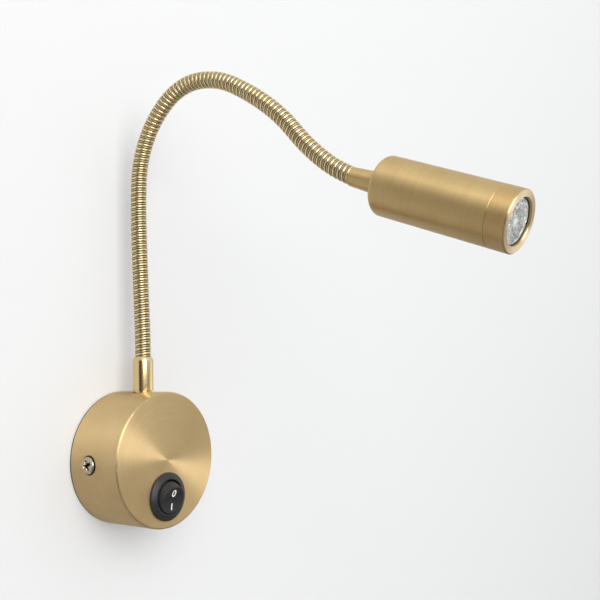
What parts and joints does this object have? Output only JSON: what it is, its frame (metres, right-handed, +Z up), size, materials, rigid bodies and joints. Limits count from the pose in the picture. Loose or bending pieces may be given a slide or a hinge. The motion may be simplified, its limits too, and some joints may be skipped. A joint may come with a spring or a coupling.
{
  "type": "bedside wall reading lamp",
  "caption": "Brass reading lamp for a wall: round base with a rocker switch, a bendable ribbed neck and a tubular spot head.",
  "frame": {"origin": "on the wall plane, at the centre of the cable entry in the wall plate's back face", "axes": "+Y into the wall, so the lamp stands out to -Y; +Z up, along the foot of the neck; +X to the right for someone facing the wall"},
  "size_m": [0.068, 0.2154, 0.2167],
  "materials": {
    "brass_satin": "satin brushed",
    "brass_polished": "polished",
    "screw_steel": "bright, brass tinted",
    "plate_steel": "zinc plated",
    "contact_brass": "bright",
    "sink_aluminium": "turned",
    "switch_black": "fine matt",
    "holder_black": "satin",
    "rubber_black": "matt",
    "lens_clear": "clear",
    "board_white": "solder mask",
    "emitter_yellow": "phosphor under a clear dome",
    "block_white": "moulded",
    "driver_white": "moulded",
    "driver_green": "circuit board",
    "driver_dark": "moulded",
    "spring_steel": "bright",
    "wire_brown": "smooth sleeve",
    "wire_blue": "smooth sleeve",
    "wire_green": "green and yellow sleeve",
    "lead_black": "smooth sleeve",
    "core_red": "smooth sleeve"
  },
  "bodies": {
    "base": {"wall_plate": "plate_steel", "wall_seal": "rubber_black", "side_tabs": "plate_steel", "tab_nuts": "plate_steel", "cable_grommet": "rubber_black", "base_cover": "brass_satin", "side_screws": "screw_steel", "switch_housing": "switch_black", "switch_blades": "contact_brass", "blade_sleeves": "block_white", "base_ferrule": "brass_polished", "base_lock_washer": "plate_steel", "base_lock_nut": "plate_steel", "neck_01": "brass_polished", "led_lead": "lead_black", "base_cores": "core_red", "terminal_block": "block_white", "terminal_barrels": "contact_brass", "terminal_screws": "plate_steel", "driver_case": "driver_white", "driver_lid": "driver_white", "driver_board": "driver_green", "driver_parts": "driver_dark", "plate_screws": "plate_steel", "earth_tag": "plate_steel", "wire_live": "wire_brown", "wire_switched": "wire_brown", "wire_neutral": "wire_blue", "wire_earth": "wire_green"},
    "bend_02": {"neck_02": "brass_polished"},
    "bend_03": {"neck_03": "brass_polished"},
    "bend_04": {"neck_04": "brass_polished"},
    "bend_05": {"neck_05": "brass_polished"},
    "bend_06": {"neck_06": "brass_polished"},
    "bend_07": {"neck_07": "brass_polished"},
    "bend_08": {"neck_08": "brass_polished"},
    "bend_09": {"neck_09": "brass_polished"},
    "bend_10": {"neck_10": "brass_polished"},
    "bend_11": {"neck_11": "brass_polished"},
    "head": {"neck_12": "brass_polished", "head_ferrule": "brass_satin", "head_lock_washer": "plate_steel", "head_lock_nut": "plate_steel", "head_barrel": "brass_satin", "front_bezel": "brass_satin", "heat_sink": "sink_aluminium", "led_board": "board_white", "board_screws": "plate_steel", "led_emitter": "emitter_yellow", "lens": "lens_clear", "lens_holder": "holder_black", "lens_gasket": "rubber_black", "head_cores": "core_red"},
    "rocker": {"switch_rocker": "switch_black", "switch_plunger": "contact_brass", "switch_spring": "spring_steel"},
    "seesaw": {"switch_seesaw": "contact_brass"}
  },
  "joints": [
    {"name": "neck_lower_forward", "type": "hinge", "parent": "base", "child": "bend_02", "pos_m": [0, -0.01515, 0.07139], "axis": [1, 0, 0], "range_deg": [-5, 12], "deforming": ["led_lead"]},
    {"name": "neck_lower_side", "type": "hinge", "parent": "bend_02", "child": "bend_03", "pos_m": [0, -0.01417, 0.09327], "axis": [0, 0.9993, -0.0384], "range_deg": [-15, 15], "deforming": ["led_lead"]},
    {"name": "neck_lower_forward_2", "type": "hinge", "parent": "bend_03", "child": "bend_04", "pos_m": [0, -0.01346, 0.11516], "axis": [1, 0, 0], "range_deg": [-5, 12], "deforming": ["led_lead"]},
    {"name": "neck_lower_side_2", "type": "hinge", "parent": "bend_04", "child": "bend_05", "pos_m": [0, -0.01385, 0.13705], "axis": [0, 0.9981, 0.061], "range_deg": [-15, 15], "deforming": ["led_lead"]},
    {"name": "neck_lower_forward_3", "type": "hinge", "parent": "bend_05", "child": "bend_06", "pos_m": [0, -0.0198, 0.15795], "axis": [1, 0, 0], "range_deg": [-5, 12], "deforming": ["led_lead"]},
    {"name": "neck_lower_side_3", "type": "hinge", "parent": "bend_06", "child": "bend_07", "pos_m": [0, -0.03416, 0.17423], "axis": [0, 0.5807, 0.8141], "range_deg": [-15, 15], "deforming": ["led_lead"]},
    {"name": "neck_upper_forward", "type": "hinge", "parent": "bend_07", "child": "bend_08", "pos_m": [0, -0.0548, 0.18015], "axis": [1, 0, 0], "range_deg": [-15, 12], "deforming": ["led_lead"]},
    {"name": "neck_upper_side", "type": "hinge", "parent": "bend_08", "child": "bend_09", "pos_m": [0, -0.07567, 0.17411], "axis": [0, -0.4818, 0.8763], "range_deg": [-15, 15], "deforming": ["led_lead"]},
    {"name": "neck_upper_forward_2", "type": "hinge", "parent": "bend_09", "child": "bend_10", "pos_m": [0, -0.09403, 0.16221], "axis": [1, 0, 0], "range_deg": [-15, 12], "deforming": ["led_lead"]},
    {"name": "neck_upper_side_2", "type": "hinge", "parent": "bend_10", "child": "bend_11", "pos_m": [0, -0.10988, 0.14716], "axis": [0, -0.7649, 0.6441], "range_deg": [-15, 15], "deforming": ["led_lead"]},
    {"name": "neck_upper_forward_3", "type": "hinge", "parent": "bend_11", "child": "head", "pos_m": [0, -0.12554, 0.13191], "axis": [1, 0, 0], "range_deg": [-15, 12], "deforming": ["led_lead"]},
    {"name": "switch_rocker_tilt", "type": "hinge", "parent": "base", "child": "rocker", "pos_m": [0, -0.0302, -0.0174], "axis": [-1, 0, 0], "range_deg": [0, 30]},
    {"name": "switch_seesaw_tilt", "type": "hinge", "parent": "base", "child": "seesaw", "pos_m": [0, -0.0212, -0.0174], "axis": [1, 0, 0], "range_deg": [0, 18]}
  ],
  "couplings": [
    {"joint": "neck_lower_forward_2", "follows": "neck_lower_forward", "ratio": 1},
    {"joint": "neck_lower_forward_3", "follows": "neck_lower_forward", "ratio": 1},
    {"joint": "neck_lower_side_2", "follows": "neck_lower_side", "ratio": 1},
    {"joint": "neck_lower_side_3", "follows": "neck_lower_side", "ratio": 1},
    {"joint": "neck_upper_forward_2", "follows": "neck_upper_forward", "ratio": 1},
    {"joint": "neck_upper_forward_3", "follows": "neck_upper_forward", "ratio": 1},
    {"joint": "neck_upper_side_2", "follows": "neck_upper_side", "ratio": 1},
    {"joint": "switch_seesaw_tilt", "follows": "switch_rocker_tilt", "ratio": 0.6}
  ]
}
